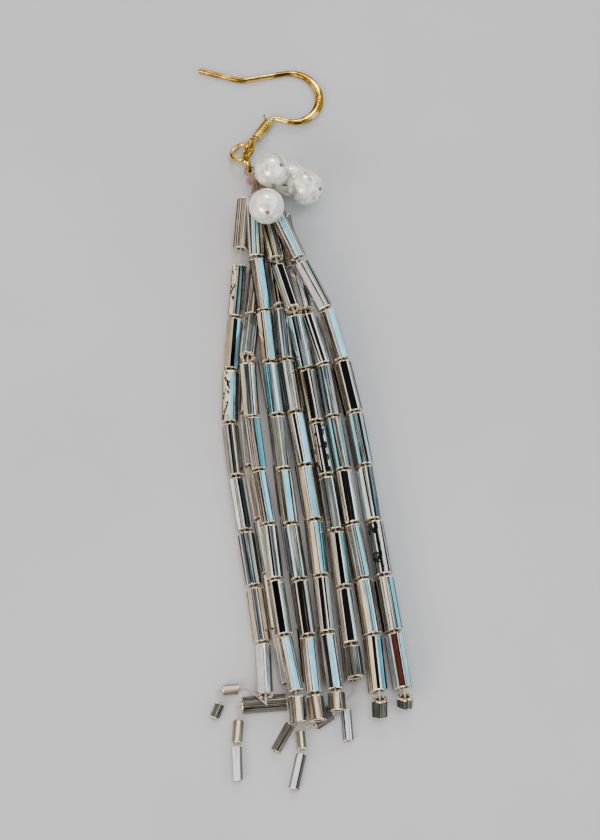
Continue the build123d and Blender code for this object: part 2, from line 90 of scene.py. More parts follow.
class Look(Enum):
    """Painted reflections and shade across a bead, left to right: tones, each with its width share in hundredths."""

    CREAM_BLACK_SKY = "OLIVE 7, CREAM 26, WHITE 5, BLACK 25, WHITE 4, SKY 20, BLACK 4, OLIVE 9"
    CREAM_SKY = "BROWN 7, CREAM 33, BLACK 4, WHITE 5, SKY 34, SLATE 8, OLIVE 9"
    CREAM_SLATE = "BROWN 6, CREAM 34, STEEL 17, SKY 10, WHITE 4, OLIVE 20, TAN 9"
    LINES = "BLACK 14, CREAM 16, BLACK 7, TAN 20, WHITE 10, BLACK 5, SILVER 18, OLIVE 10"
    MIST_BLACK = "OLIVE 7, SILVER 24, WHITE 7, BLACK 11, SLATE 22, WHITE 5, BROWN 15, TAN 9"
    WHITE_SLATE = "SLATE 8, WHITE 19, BLACK 6, STEEL 20, BLACK 10, SLATE 22, WHITE 5, BROWN 10"
    SLATE_BLUE = "OLIVE 10, WHITE 6, SLATE 40, BLACK 4, SILVER 16, CREAM 9, BROWN 15"
    SLATE_CREAM = "BROWN 7, CREAM 14, SLATE 31, WHITE 8, NAVY 10, CREAM 16, OLIVE 14"
    LILAC_LINE = "TAN 8, WHITE 6, LILAC 36, BLACK 5, LILAC 25, SLATE 8, TAN 12"
    MIST_PLAIN = "OLIVE 8, WHITE 4, MIST 56, SILVER 7, BROWN 15, OLIVE 10"
    TAN_STREAKS_SKY = "BROWN 7, TAN 17, OLIVE 22, SILVER 12, BLACK 4, SKY 27, BROWN 11"
    SKY_EDGE = "TAN 18, OLIVE 14, WHITE 5, SKY 36, BLACK 5, TAN 14, BROWN 8"
    BLACK_WHITE = "OLIVE 10, TAN 13, WHITE 4, BLACK 42, WHITE 9, SILVER 10, BROWN 12"
    BLACK_SKY = "TAN 10, OLIVE 11, WHITE 4, BLACK 32, WHITE 5, SKY 22, SLATE 8, BROWN 8"
    SKY_LINES = "OLIVE 8, SKY 20, BLACK 6, STEEL 22, WHITE 10, BLACK 6, PALE_SKY 16, OLIVE 12"
    STEEL_STREAKS = "BLACK 5, STEEL 20, WHITE 7, STEEL 33, SILVER 17, OLIVE 18"
    NAVY_SKY = "TAN 14, BROWN 10, NAVY 22, SKY 20, WHITE 6, NAVY 12, TAN 16"
    ROSE_LINES = "OLIVE 5, ROSE 34, BLACK 7, ROSE 26, BLACK 7, SILVER 13, TAN 8"
    DARK_ROSE = "OLIVE 14, SMOKE 16, BLACK 20, SILVER 8, ROSE 32, OLIVE 10"
    OLIVE_SKY = "BROWN 6, OLIVE 30, WHITE 6, TAN 10, PALE_SKY 6, SKY 32, SLATE 10"
    RUST_WHITE = "SLATE 6, PALE_SKY 14, RUST 36, WHITE 5, SLATE 7, PALE_SKY 22, SLATE 10"
    # Painted shade: dull tones, also taken by facets that face down
    UNDER = "BROWN 12, OLIVE 20, SMOKE 22, SILVER 10, OLIVE 22, TAN 14"
    # Pale tones of the back strands: painted light, standing in for light through the glass
    THROUGH = "OLIVE 10, FAINT 24, TAN 14, SILVER 14, FAINT 26, OLIVE 12"
    SMOKY = "BROWN 12, SMOKE 46, BROWN 24, SMOKE 18"
    GOLDEN = "TAN 20, WHITE 30, CREAM 25, TAN 25"
    BEIGE = "SMOKE 8, TAN 34, CREAM 22, TAN 18, SMOKE 18"
    GREY_END = "SMOKE 20, MIST 45, TAN 15, SMOKE 20"
    PALE_THIN = "SLATE 18, LILAC 46, WHITE 10, SMOKE 26"

    def runs(self) -> list[tuple[Tone, float]]:
        """The tones and their shares of the width, from left to right."""
        parts = [part.split() for part in self.value.split(", ")]
        return [(Tone[name], int(share) / 100) for name, share in parts]


# The looks of each strand's beads, from its first bead down
LOOKS = {
    "front_strand_1": (
        "LINES, CREAM_SLATE, CREAM_BLACK_SKY, CREAM_SKY, MIST_BLACK, WHITE_SLATE, SLATE_BLUE, SLATE_CREAM, LILAC_LINE, "
        "GOLDEN, SMOKY"
    ),
    "front_strand_2": (
        "SKY_EDGE, UNDER, MIST_PLAIN, SLATE_CREAM, TAN_STREAKS_SKY, TAN_STREAKS_SKY, MIST_BLACK, BLACK_WHITE, "
        "SKY_EDGE, BEIGE"
    ),
    "front_strand_3": (
        "SKY_EDGE, OLIVE_SKY, CREAM_SKY, SKY_LINES, MIST_PLAIN, SKY_EDGE, STEEL_STREAKS, BLACK_WHITE, SKY_EDGE, BEIGE"
    ),
    "front_strand_4": (
        "SLATE_BLUE, BLACK_SKY, STEEL_STREAKS, STEEL_STREAKS, BLACK_SKY, CREAM_SKY, CREAM_SKY, BLACK_WHITE, NAVY_SKY, "
        "BEIGE"
    ),
    "front_strand_5": (
        "LINES, BLACK_WHITE, SKY_LINES, BLACK_WHITE, BLACK_WHITE, MIST_PLAIN, CREAM_BLACK_SKY, BLACK_WHITE, SMOKY"
    ),
    "front_strand_6": (
        "CREAM_SLATE, ROSE_LINES, BLACK_WHITE, STEEL_STREAKS, SKY_LINES, BLACK_WHITE, TAN_STREAKS_SKY, CREAM_SLATE, "
        "CREAM_BLACK_SKY, GREY_END"
    ),
    "front_strand_7": (
        "SKY_EDGE, ROSE_LINES, OLIVE_SKY, BLACK_WHITE, SKY_LINES, WHITE_SLATE, DARK_ROSE, OLIVE_SKY, RUST_WHITE, SMOKY"
    ),
    "back_strand_1": "THROUGH, MIST_PLAIN, TAN_STREAKS_SKY, THROUGH, SLATE_CREAM, THROUGH, SMOKY, BEIGE, PALE_THIN",
    "back_strand_2": "THROUGH, OLIVE_SKY, THROUGH, MIST_PLAIN, THROUGH, LINES, BEIGE, PALE_THIN",
    "back_strand_3": "MIST_PLAIN, STEEL_STREAKS, THROUGH, MIST_PLAIN, THROUGH, LINES, THROUGH, SMOKY, SMOKY",
    "back_strand_4": "THROUGH, MIST_PLAIN, STEEL_STREAKS, THROUGH, LINES, THROUGH, MIST_PLAIN, PALE_THIN",
    "back_strand_5": "STEEL_STREAKS, THROUGH, MIST_PLAIN, THROUGH, TAN_STREAKS_SKY, LINES, THROUGH",
    "back_strand_6": "MIST_PLAIN, LINES, THROUGH, SKY_LINES, THROUGH, LINES, MIST_PLAIN",
}
# Beads with black blotches in their lining, as strand and place down it
BLOTCHED = {("front_strand_1", 1), ("front_strand_1", 3), ("front_strand_5", 4), ("front_strand_7", 6)}


class Shade:
    """A socket of a node tree that can stand in a sum."""

    def __init__(self, wiring: "Wiring", socket: bpy.types.NodeSocket) -> None:
        """Keeps an output socket and its tree's wiring."""
        self.wiring = wiring
        self.socket = socket

    def _sum(self, operation: str, first: Link, second: Link) -> "Shade":
        """The result of one Math node."""
        return self.wiring.node("ShaderNodeMath", {"operation": operation}, {0: first, 1: second})

    def __add__(self, other: Link) -> "Shade":
        """This plus the other."""
        return self._sum("ADD", self, other)

    __radd__ = __add__

    def __rsub__(self, other: Link) -> "Shade":
        """The other less this."""
        return self._sum("SUBTRACT", other, self)

    def __mul__(self, other: Link) -> "Shade":
        """This times the other."""
        return self._sum("MULTIPLY", self, other)

    __rmul__ = __mul__

    def band(self, low: float, high: float, first: float = 0.0, second: float = 1.0) -> "Shade":
        """A smooth step between two values.

        Args:
            low: where the step starts.
            high: where it ends.
            first: the result below it.
            second: the result above it.

        Returns:
            The stepped value.
        """
        return self.wiring.node(
            "ShaderNodeMapRange",
            {"interpolation_type": "SMOOTHSTEP"},
            {0: self, 1: low, 2: high, 3: first, 4: second},
        )


class Wiring:
    """Adds nodes to one tree."""

    def __init__(self, tree: bpy.types.NodeTree) -> None:
        """Empties the tree to fill."""
        self.tree = tree
        tree.nodes.clear()

    def node(self, kind: str, settings: dict | None = None, values: dict | None = None, out: int | str = 0) -> Shade:
        """Adds one node.

        Args:
            kind: the node's type.
            settings: its settings, set first.
            values: the values or links of its sockets, by name or number.
            out: the name or number of the output wanted.

        Returns:
            The output wanted.
        """
        made = self.tree.nodes.new(kind)
        for key, value in (settings or {}).items():
            setattr(made, key, value)
        for key, value in (values or {}).items():
            if isinstance(value, Shade):
                self.tree.links.new(value.socket, made.inputs[key])
            else:
                made.inputs[key].default_value = value
        return Shade(self, made.outputs[out])

    def finish(self, kind: str, shader: Shade) -> None:
        """Adds the tree's output node and gives it the shader."""
        self.tree.links.new(shader.socket, self.tree.nodes.new(kind).inputs["Surface"])

    def mix(self, share: Link, first: Link, second: Link, blend: str = "MIX") -> Shade:
        """Mixes two colours.

        Args:
            share: how much of the second shows.
            first: the first colour.
            second: the second colour.
            blend: how they are blended.

        Returns:
            The mixed colour.
        """
        first, second = (colour if isinstance(colour, Shade) else (*colour, 1.0) for colour in (first, second))
        return self.node(
            "ShaderNodeMix", {"data_type": "RGBA", "blend_type": blend}, {0: share, 6: first, 7: second}, out=2
        )

    def grey(self, value: Shade) -> Shade:
        """A number as a grey colour."""
        return self.node("ShaderNodeCombineColor", None, {0: value, 1: value, 2: value})

    def place(self) -> Shade:
        """The point's place in the earring's frame, in metres."""
        return self.node("ShaderNodeNewGeometry", out="Position")

    def scaled(self, vector: Shade, sizes: tuple[float, float, float]) -> Shade:
        """A vector multiplied axis by axis."""
        return self.node("ShaderNodeVectorMath", {"operation": "MULTIPLY"}, {0: vector, 1: sizes})

    def noise(self, vector: Shade, scale: float, detail: float = 3.0, rough: float = 0.5) -> Shade:
        """Soft noise between 0 and 1.

        Args:
            vector: where it is read.
            scale: how fine it is.
            detail: its octaves.
            rough: how strong the fine octaves are.

        Returns:
            The noise's value.
        """
        return self.node(
            "ShaderNodeTexNoise", None, {"Vector": vector, "Scale": scale, "Detail": detail, "Roughness": rough}
        )

    def bump(self, height: Shade, depth: float, strength: float = 1.0) -> Shade:
        """A normal bent by a height, of which 1 is the depth in metres."""
        return self.node("ShaderNodeBump", None, {"Height": height, "Distance": depth, "Strength": strength})


@dataclass(frozen=True)
class Finish:
    """A surface finish."""

    name: str

    def fill(self, wiring: Wiring) -> dict[str, Link]:
        """Adds the finish's own nodes.

        Args:
            wiring: the wiring of the material's tree.

        Returns:
            The main shader's inputs.
        """
        raise NotImplementedError

    def make(self) -> bpy.types.Material:
        """Makes the material.

        Returns:
            The material.
        """
        material = bpy.data.materials.new(self.name)
        material.use_nodes = True
        wiring = Wiring(material.node_tree)
        shader = wiring.node("ShaderNodeBsdfPrincipled", None, self.fill(wiring))
        wiring.finish("ShaderNodeOutputMaterial", shader)
        return material


@dataclass(frozen=True)
class SilverLinedGlass(Finish):
    """Bugle bead facets: each strip's painted reflection over the silver lining, streaked along the bead."""

    name: str = "silver_lined_glass"
    mirror: float = 0.74
    # Painted shade that darkens the tint along the streaks
    furrow_shade: Colour = (0.10, 0.085, 0.065)
    # Painted glints along the streaks
    glint: Colour = (0.84, 0.82, 0.76)
    hair: Colour = (0.015, 0.012, 0.010)
    cloud: Colour = (0.5, 0.52, 0.53)
    blot: Colour = (0.006, 0.005, 0.004)

    def fill(self, wiring: Wiring) -> dict[str, Link]:
        """Painted tone, streaks with painted shade and glints, and black blotches where the lining is tarnished.

        Args:
            wiring: the wiring of the material's tree.

        Returns:
            The main shader's inputs.
        """
        tint, streaked, tarnish, place = (
            wiring.node("ShaderNodeAttribute", {"attribute_name": name}, out=out)
            for name, out in (("tone", "Color"), ("streak", "Fac"), ("tarnish", "Fac"), ("bead_place", "Vector"))
        )
        lines = wiring.noise(wiring.scaled(place, (0.12, 8.0, 3.1)), 1.0, 4.0, 0.62)
        hairs = wiring.noise(wiring.scaled(place, (0.10, 19.0, 1.7)), 1.0, 2.0)
        clouds = wiring.noise(wiring.scaled(place, (0.45, 1.6, 2.7)), 1.0, 2.0)
        blots = wiring.noise(wiring.scaled(place, (0.8, 1.3, 5.3)), 1.0, 2.0)
        depth = streaked * lines.band(0.36, 0.60)
        # Painted shade: the tint darkened along the streaks
        dark = wiring.mix(depth, tint, wiring.mix(1.0, tint, self.furrow_shade, "MULTIPLY"))
        # Painted glints: pale specks along the streaks
        glints = streaked * lines.band(0.58, 0.66, 1.0, 0.0) * hairs.band(0.55, 0.62)
        bright = wiring.mix(glints, dark, self.glint)
        lined = wiring.mix(hairs.band(0.36, 0.42, 1.0, 0.0) * streaked * 0.8, bright, self.hair)
        soft = wiring.mix(clouds.band(0.38, 0.62) * 0.45, lined, wiring.mix(1.0, lined, self.cloud, "MULTIPLY"))
        flecks = tarnish * blots.band(0.555, 0.575) * blots.band(0.66, 0.68, 1.0, 0.0)
        return {
            "Base Color": wiring.mix(flecks, soft, self.blot),
            "Metallic": (1.0 - flecks * 0.7) * self.mirror,
            "Roughness": 0.07 + depth * 0.12 + flecks * 0.2,
            "Specular IOR Level": 0.15,
            "Coat Weight": 0.04,
            "Coat Roughness": 0.03,
            "Normal": wiring.bump(lines * streaked, 0.00002, 0.3),
        }


@dataclass(frozen=True)
class CutGlassEnd(Finish):
    """Cut rim of a bead, where the glass and its lining show creamy and golden."""

    name: str = "cut_glass_rim"
    cream: Colour = (0.92, 0.78, 0.52)
    gold: Colour = (0.42, 0.28, 0.10)
    # White of the painted glints
    white: Colour = (0.97, 0.95, 0.90)
    dark: Colour = (0.04, 0.026, 0.014)

    def fill(self, wiring: Wiring) -> dict[str, Link]:
        """Cream, gold and dark patches round the rim, with white painted glints.

        Args:
            wiring: the wiring of the material's tree.

        Returns:
            The main shader's inputs.
        """
        patches = wiring.noise(wiring.place(), 4200.0, 3.0, 0.6)
        golden = wiring.mix(patches.band(0.44, 0.54), self.cream, self.gold)
        # Painted glints: white patches round the rim
        glinting = wiring.mix(patches.band(0.34, 0.42, 1.0, 0.0), golden, self.white)
        return {
            "Base Color": wiring.mix(patches.band(0.55, 0.60), glinting, self.dark),
            "Metallic": patches.band(0.45, 0.6) * 0.5 + 0.3,
            "Roughness": 0.12 + patches * 0.2,
            "Coat Weight": 0.5,
            "Coat Roughness": 0.05,
            "Normal": wiring.bump(patches, 0.00004, 0.6),
        }


@dataclass(frozen=True)
class BoreLiningShade(Finish):
    """Inside of a bead's bore, painted dark with the shade of the hole."""

    name: str = "bore_lining_shade"
    # Painted shade of the hole
    dark: Colour = (0.020, 0.012, 0.008)
    # Bronze of the painted glints
    bronze: Colour = (0.24, 0.13, 0.05)

    def fill(self, wiring: Wiring) -> dict[str, Link]:
        """Brown-black painted shade with a few bronze painted glints.

        Args:
            wiring: the wiring of the material's tree.

        Returns:
            The main shader's inputs.
        """
        glints = wiring.noise(wiring.place(), 3400.0, 3.0, 0.6)
        return {
            "Base Color": wiring.mix(glints.band(0.52, 0.66), self.dark, self.bronze),
            "Metallic": 0.5,
            "Roughness": 0.3 + glints * 0.25,
            "Normal": wiring.bump(glints, 0.00004, 0.5),
        }


@dataclass(frozen=True)
class PolishedGold(Finish):
    """Polished yellow gold plate with faint drawing lines and small scratches."""

    name: str = "polished_gold"
    tint: Colour = (0.92, 0.62, 0.12)
    deep: Colour = (0.26, 0.12, 0.008)

    def fill(self, wiring: Wiring) -> dict[str, Link]:
        """Deeper gold in clouds, with fine marks in the polish.

        Args:
            wiring: the wiring of the material's tree.

        Returns:
            The main shader's inputs.
        """
        place = wiring.place()
        clouds = wiring.noise(place, 420.0, 3.0)
        marks = wiring.noise(wiring.scaled(place, (1.0, 1.0, 4.0)), 5200.0, 2.0, 0.7)
        return {
            "Base Color": wiring.mix(clouds.band(0.42, 0.60), self.tint, self.deep),
            "Metallic": 1.0,
            "Roughness": 0.05 + marks.band(0.5, 0.8) * 0.08 + clouds * 0.04,
            "Normal": wiring.bump(marks, 0.000006, 0.35),
        }


@dataclass(frozen=True)
class PearlNacre(Finish):
    """Glossy pearl: cream with rosy clouds, grey-green clouds of painted shade, grey painted reflections, clear lustre.
    """

    name: str = "pearl_nacre"
    cream: Colour = (1.0, 0.94, 0.81)
    # Grey-green of the painted shade, laid in clouds
    shadow: Colour = (0.66, 0.65, 0.56)
    rose: Colour = (0.92, 0.80, 0.70)
    # Grey of small painted reflections
    reflection_grey: Colour = (0.24, 0.25, 0.22)

    def fill(self, wiring: Wiring) -> dict[str, Link]:
        """Soft clouds of tint and painted shade, small grey painted reflections and a fine orient in the polish.

        Args:
            wiring: the wiring of the material's tree.

        Returns:
            The main shader's inputs.
        """
        place = wiring.place()
        clouds = wiring.noise(place, 1000.0, 4.0, 0.65)
        rosy = wiring.noise(place, 300.0, 2.0)
        # Where the grey painted reflections lie
        marks = wiring.noise(wiring.scaled(place, (1.0, 0.6, 1.0)), 760.0, 5.0, 0.62)
        orient = wiring.noise(place, 2600.0, 3.0, 0.6)
        # Painted shade in clouds of grey-green
        cream = wiring.mix(clouds.band(0.42, 0.60), self.cream, self.shadow)
        warm = wiring.mix(rosy.band(0.50, 0.68) * 0.6, cream, self.rose)
        return {
            "Base Color": wiring.mix(marks.band(0.56, 0.64) * 0.80, warm, self.reflection_grey),
            "Metallic": 0.32,
            "Roughness": 0.12 + orient * 0.16,
            "Coat Weight": 1.0,
            "Coat Roughness": 0.02,
            "Coat IOR": 1.7,
            "Normal": wiring.bump(orient * 0.4 + clouds, 0.00008, 0.5),
        }


@dataclass(frozen=True)
class WaxedThread(Finish):
    """Waxed beading thread, twisted from fine plies."""

    name: str = "waxed_thread"
    tint: Colour = (0.26, 0.15, 0.08)
    # Painted shade in the furrows between the plies
    dark: Colour = (0.07, 0.035, 0.018)
    twist: float = 5200.0

    def fill(self, wiring: Wiring) -> dict[str, Link]:
        """Painted shade in the furrows between the plies, paler fibres on them.

        Args:
            wiring: the wiring of the material's tree.

        Returns:
            The main shader's inputs.
        """
        place = wiring.place()
        plies = wiring.node(
            "ShaderNodeTexWave",
            {"bands_direction": "DIAGONAL"},
            {"Vector": place, "Scale": self.twist, "Distortion": 1.5, "Detail": 2.0},
            out="Fac",
        )
        fibres = wiring.noise(place, 9000.0, 3.0, 0.7)
        height = plies * 0.7 + fibres * 0.3
        return {
            # Painted shade: darker where the plies sink
            "Base Color": wiring.mix(height.band(0.2, 0.8), self.dark, self.tint),
            "Roughness": 0.45 + fibres * 0.3,
            "Sheen Weight": 0.3,
            "Normal": wiring.bump(height, 0.00005, 0.8),
        }


@dataclass(frozen=True)
class PaleFloor(Finish):
    """Plain pale grey floor."""

    name: str = "pale_floor"
    low: Colour = (0.37, 0.364, 0.376)
    high: Colour = (0.41, 0.404, 0.416)

    def fill(self, wiring: Wiring) -> dict[str, Link]:
        """A faint cloudiness in the paint.

        Args:
            wiring: the wiring of the material's tree.

        Returns:
            The main shader's inputs.
        """
        clouds = wiring.noise(wiring.place(), 14.0, 4.0, 0.6)
        return {
            "Base Color": wiring.mix(clouds.band(0.3, 0.7), self.low, self.high),
            "Roughness": 0.55,
            "Specular IOR Level": 0.3,
        }


class Paints:
    """Every material of the earring, made once."""

    def __init__(self) -> None:
        """Makes the materials."""
        self.glass = SilverLinedGlass().make()
        # A less mirrored copy of the glass for the back strands, so their painted tones show brighter in the shade
        # between the front strands
        self.back_strand_glass = SilverLinedGlass("back_strand_glass", 0.35).make()
        self.rim = CutGlassEnd().make()
        self.bore = BoreLiningShade().make()
        self.gold = PolishedGold().make()
        self.coil_gold = PolishedGold("coil_gold", (0.90, 0.70, 0.22), (0.50, 0.34, 0.05)).make()
        self.pearl = PearlNacre().make()
        self.thread = WaxedThread().make()
        self.line = WaxedThread("beading_line", (0.50, 0.47, 0.43), (0.30, 0.26, 0.22)).make()
        self.knot = WaxedThread("knot_thread", (0.38, 0.20, 0.15), (0.12, 0.05, 0.035), 3600.0).make()


def unit(vector: np.ndarray) -> np.ndarray:
    """A vector made one long."""
    return vector / np.linalg.norm(vector)


def turned(first: np.ndarray, second: np.ndarray, turn: float) -> np.ndarray:
    """The way that lies a turn from the first one toward the second, which is square to it."""
    return first * math.cos(turn) + second * math.sin(turn)


def node_box(node: str) -> tuple[np.ndarray, np.ndarray]:
    """A frame node's lowest and highest corners, in metres."""
    low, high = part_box(node)
    return np.array(low), np.array(high)


def node_points(node: str) -> np.ndarray:
    """Reads the points of a frame node's mesh.

    Args:
        node: the node's name.

    Returns:
        The points, in metres.
    """
    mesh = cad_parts[node].data
    points = np.empty(len(mesh.vertices) * 3)
    mesh.vertices.foreach_get("co", points)
    return points.reshape(-1, 3)


def loose_parts(points: np.ndarray, faces: np.ndarray) -> list[np.ndarray]:
    """Sorts faces into loose parts, taking points at one place as one.

    Args:
        points: the mesh's points.
        faces: three point numbers a face.

    Returns:
        For each part, the numbers of its faces.
    """
    _, place = np.unique(np.round(points / WELD).astype(np.int64), axis=0, return_inverse=True)
    place = place.reshape(-1)
    label = np.arange(place.max() + 1)
    corners = place[faces]
    while True:
        lowest = label[corners].min(axis=1)
        before = label.copy()
        for side in range(3):
            np.minimum.at(label, corners[:, side], lowest)
        label = label[label]
        if (label == before).all():
            break
    return [np.nonzero(label[corners[:, 0]] == name)[0] for name in np.unique(label[corners[:, 0]])]


def hoops(rows: int, count: int, first: int = 0, closed: bool = False) -> list[Face]:
    """Faces between rings of points that follow each other.

    Args:
        rows: how many rings there are.
        count: the points in each ring.
        first: the number of the first ring's first point.
        closed: whether the last ring joins the first.

    Returns:
        The faces, row by row.
    """
    faces = []
    for row in range(rows if closed else rows - 1):
        here, there = first + row * count, first + (row + 1) % rows * count
        for step in range(count):
            after = (step + 1) % count
            faces.append((here + step, here + after, there + after, there + step))
    return faces


def new_piece(
    name: str, node: str, slot: str, points: list[np.ndarray], faces: list[Face], *materials: bpy.types.Material
) -> bpy.types.Object:
    """Makes a smooth piece of the earring that stands for one of the frame's nodes.

    Args:
        name: the piece's name.
        node: the node that it stands for.
        slot: not used.
        points: its points, in metres.
        faces: its faces, as point numbers.
        materials: its materials.

    Returns:
        The piece, riding on the earring's body.
    """
    mesh = bpy.data.meshes.new(name)
    mesh.from_pydata([tuple(point) for point in points], [], faces)
    mesh.polygons.foreach_set("use_smooth", [True] * len(mesh.polygons))
    for material in materials:
        mesh.materials.append(material)
    piece = bpy.data.objects.new(name, mesh)
    bpy.context.scene.collection.objects.link(piece)
    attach(piece, BODY)
    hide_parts(node)
    LOG.info("%s: %d faces", name, len(faces))
    return piece


def dress(node: str, material: bpy.types.Material) -> None:
    """Gives a frame node a material.

    Args:
        node: the node's name.
        material: the material.
    """
    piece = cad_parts[node]
    if not piece.material_slots:
        piece.data.materials.append(None)
    for place in piece.material_slots:
        place.material = material
    LOG.info("%s: dressed in %s", node, material.name)


@dataclass
class Tubing:
    """Closed round tubes, gathered into one mesh."""

    points: list[np.ndarray] = field(default_factory=list)
    faces: list[Face] = field(default_factory=list)
    askew: tuple[float, float, float] = (0.31, 0.52, 0.79)

    def add(self, path: list[np.ndarray], radius: float, sides: int = 8) -> None:
        """Adds a tube along a path.

        Args:
            path: points along the middle, in metres.
            radius: the tube's radius.
            sides: faces round the tube.
        """
        ahead = np.gradient(np.array(path), axis=0)
        ahead /= np.linalg.norm(ahead, axis=1)[:, None]
        side = np.cross(ahead[0], self.askew)
        first = len(self.points)
        for middle, line in zip(path, ahead):
            side = unit(side - line * (side @ line))
            other = np.cross(line, side)
            for step in range(sides):
                self.points.append(middle + turned(side, other, math.tau * step / sides) * radius)
        self.faces += hoops(len(path), sides, first)
        last = first + (len(path) - 1) * sides
        self.faces.append(tuple(first + step for step in reversed(range(sides))))
        self.faces.append(tuple(last + step for step in range(sides)))


@dataclass
class BeadForm:
    """One bead as the frame has it, in metres."""

    foot: np.ndarray
    axis: np.ndarray
    length: float
    radius: float
    bore: float
    corner: np.ndarray

    @classmethod
    def measured(cls, points: np.ndarray, sides: np.ndarray, end_depth: float = 0.02 * MM) -> "BeadForm":
        """Measures a bead from its mesh.

        Args:
            points: the bead's points.
            sides: its faces' normals, each as long as twice its area.
            end_depth: how far from an end a point still belongs to it.

        Returns:
            The bead's form, with its foot at the end that lies higher up the earring.
        """
        areas = np.linalg.norm(sides, axis=1)
        # Fewest of the faces look along the bead
        _, lines = np.linalg.eigh((sides / 2).T @ (sides / np.maximum(areas, TINY)[:, None]))
        axis = lines[:, 0]
        if axis[1] > 0:
            axis = -axis
        along = points @ axis
        low, high = along.min(), along.max()
        ends = points[along < low + end_depth].mean(axis=0), points[along > high - end_depth].mean(axis=0)
        middle = (ends[0] + ends[1]) / 2
        off = points - middle
        off = off - np.outer(off @ axis, axis)
        far = np.linalg.norm(off, axis=1)
        length = float(high - low)
        corner = off[far.argmax()] / far.max()
        return cls(middle - axis * length / 2, axis, length, float(far.max()), float(far.min()), corner)


@dataclass
class CutEnd:
    """One end of a bead: shapes across it, from its outside in, and how far its cut lies inside the bead's end."""

    base: np.ndarray
    way: np.ndarray
    full: np.ndarray
    eased: np.ndarray
    drawn: np.ndarray
    bore: np.ndarray
    cut: np.ndarray
    chips: np.ndarray

    def ring(self, shape: np.ndarray, deep: float, chipped: float = 0.0) -> np.ndarray:
        """A ring of one shape, a depth under the cut and with a share of the chips."""
        return self.base + shape + self.way * (self.cut + deep + self.chips * chipped)[:, None]


class Layer(IntEnum):
    """Which of a bead's materials a face takes."""

    GLASS = 0
    RIM = 1
    BORE = 2


